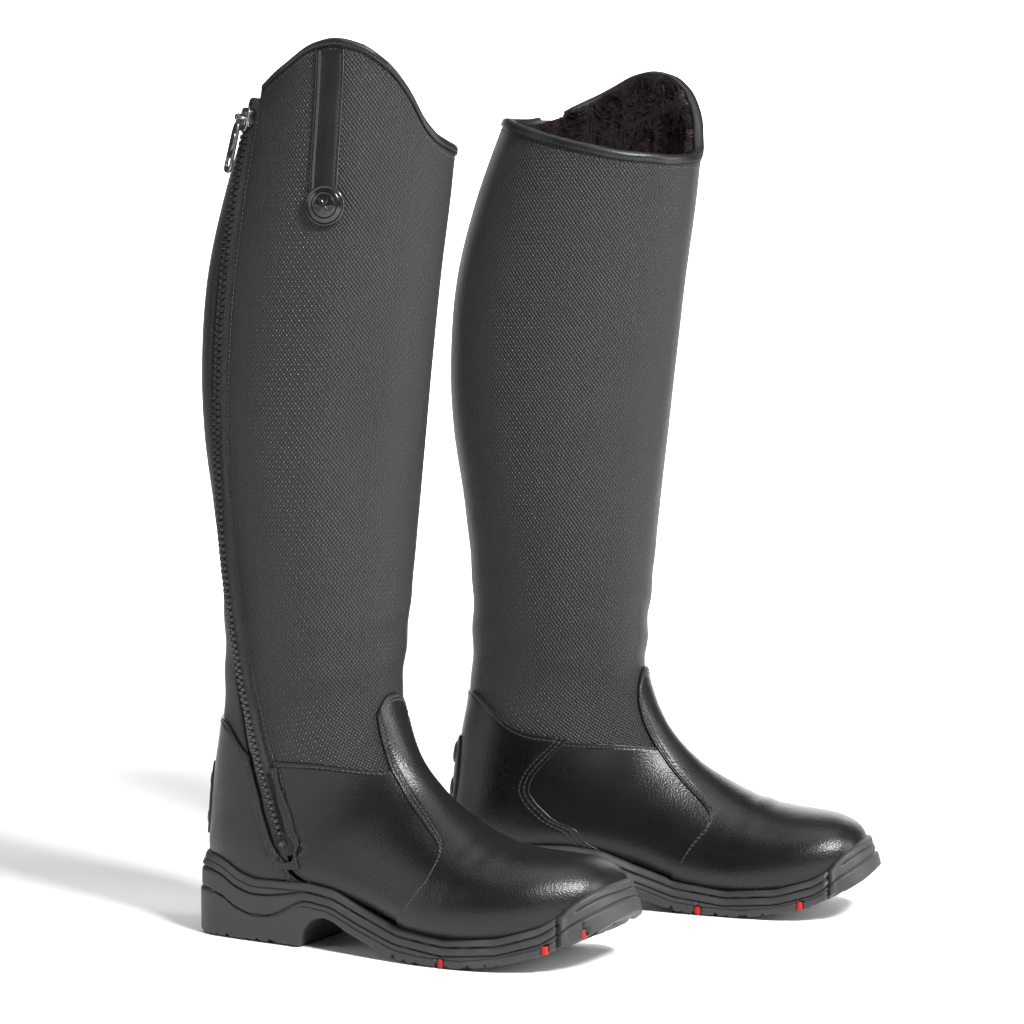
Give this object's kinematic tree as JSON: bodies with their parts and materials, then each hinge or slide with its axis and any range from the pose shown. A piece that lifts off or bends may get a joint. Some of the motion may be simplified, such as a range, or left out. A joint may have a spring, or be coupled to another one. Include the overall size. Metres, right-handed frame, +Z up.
{
  "type": "riding boots",
  "caption": "Pair of tall black fleece-lined winter riding boots with embossed shafts, curved side-back zips, smooth leather feet, spur rests and lugged cup soles.",
  "frame": {"origin": "middle of the bounding box of the standing pair, on the floor", "axes": "+X the way the wearer faces, +Y to the wearer's left, +Z up"},
  "size_m": [0.366, 0.2996, 0.5277],
  "materials": {
    "outsole_rubber": "matte moulded rubber cup sole with lugged tread",
    "grip_rubber": "matte red rubber grip plug",
    "midsole_foam": "matte foam, hidden inside the sole",
    "shank_steel": "plain spring steel strip, hidden",
    "insole_board": "pressed fibre board, hidden",
    "fleece": "deep dark brown-black plush fleece",
    "foot_leather": "smooth black leather, fine pebble grain, semi-gloss",
    "stiffener": "thermoformed stiffener sheet, hidden",
    "spur_rubber": "satin black rubber",
    "spur_pad_rubber": "matte dark grey rubber",
    "embossed_shaft": "black coated fabric embossed with a fine diagonal diamond weave, satin",
    "gusset": "smooth soft black synthetic leather, satin",
    "binding": "folded black leather binding, satin, stitched",
    "patent_strap": "glossy black leather strap, stitched along both edges",
    "badge": "glossy black domed disc with a plain relief",
    "zip_tape": "black woven tape",
    "zip_teeth": "moulded black teeth, slight sheen",
    "zip_metal": "dark metal, semi-gloss, light edge wear",
    "pull_metal": "dark metal, semi-gloss, light edge wear"
  },
  "bodies": {
    "root": {"left_outsole": "outsole_rubber", "left_grip_plugs": "grip_rubber", "left_midsole": "midsole_foam", "left_shank": "shank_steel", "left_insole_board": "insole_board", "left_footbed": "fleece", "left_vamp": "foot_leather", "left_toe_puff": "stiffener", "left_quarter_lateral": "foot_leather", "left_quarter_medial": "foot_leather", "left_heel_counter": "foot_leather", "left_counter_stiffener": "stiffener", "left_spur_rest": "spur_rubber", "left_spur_pads": "spur_pad_rubber", "left_shaft_panel": "embossed_shaft", "left_rear_gusset": "gusset", "left_shaft_lining": "fleece", "left_foot_lining": "fleece", "left_top_binding": "binding", "left_trim_strap": "patent_strap", "left_badge": "badge", "left_zip_tape_front": "zip_tape", "left_zip_tape_rear": "zip_tape", "left_zip_teeth_front": "zip_teeth", "left_zip_teeth_rear": "zip_teeth", "left_zip_facing": "foot_leather", "left_zip_flap": "zip_tape", "right_outsole": "outsole_rubber", "right_grip_plugs": "grip_rubber", "right_midsole": "midsole_foam", "right_shank": "shank_steel", "right_insole_board": "insole_board", "right_footbed": "fleece", "right_vamp": "foot_leather", "right_toe_puff": "stiffener", "right_quarter_lateral": "foot_leather", "right_quarter_medial": "foot_leather", "right_heel_counter": "foot_leather", "right_counter_stiffener": "stiffener", "right_spur_rest": "spur_rubber", "right_spur_pads": "spur_pad_rubber", "right_shaft_panel": "embossed_shaft", "right_rear_gusset": "gusset", "right_shaft_lining": "fleece", "right_foot_lining": "fleece", "right_top_binding": "binding", "right_trim_strap": "patent_strap", "right_badge": "badge", "right_zip_tape_front": "zip_tape", "right_zip_tape_rear": "zip_tape", "right_zip_teeth_front": "zip_teeth", "right_zip_teeth_rear": "zip_teeth", "right_zip_facing": "foot_leather", "right_zip_flap": "zip_tape"},
    "left_slider_body": {"left_zip_slider": "zip_metal"},
    "left_pull_body": {"left_zip_pull": "pull_metal"},
    "right_slider_body": {"right_zip_slider": "zip_metal"},
    "right_pull_body": {"right_zip_pull": "pull_metal"}
  },
  "joints": [
    {"name": "left_zip_run", "type": "hinge", "parent": "root", "child": "left_slider_body", "pos_m": [0.72836, -0.08615, 0.30555], "axis": [-0.2626, -0.9649, 0.0004], "range_deg": [0, 28.88]},
    {"name": "left_pull_swing", "type": "hinge", "parent": "left_slider_body", "child": "left_pull_body", "pos_m": [-0.05013, 0.13052, 0.48484], "axis": [0.8372, 0.5264, -0.1485], "range_deg": [0, 160]},
    {"name": "right_zip_run", "type": "hinge", "parent": "root", "child": "right_slider_body", "pos_m": [0.63936, 0.08615, 0.30555], "axis": [0.2626, -0.9649, -0.0004], "range_deg": [0, 28.88]},
    {"name": "right_pull_swing", "type": "hinge", "parent": "right_slider_body", "child": "right_pull_body", "pos_m": [-0.13912, -0.13052, 0.48484], "axis": [-0.8372, 0.5264, 0.1485], "range_deg": [0, 160]}
  ]
}
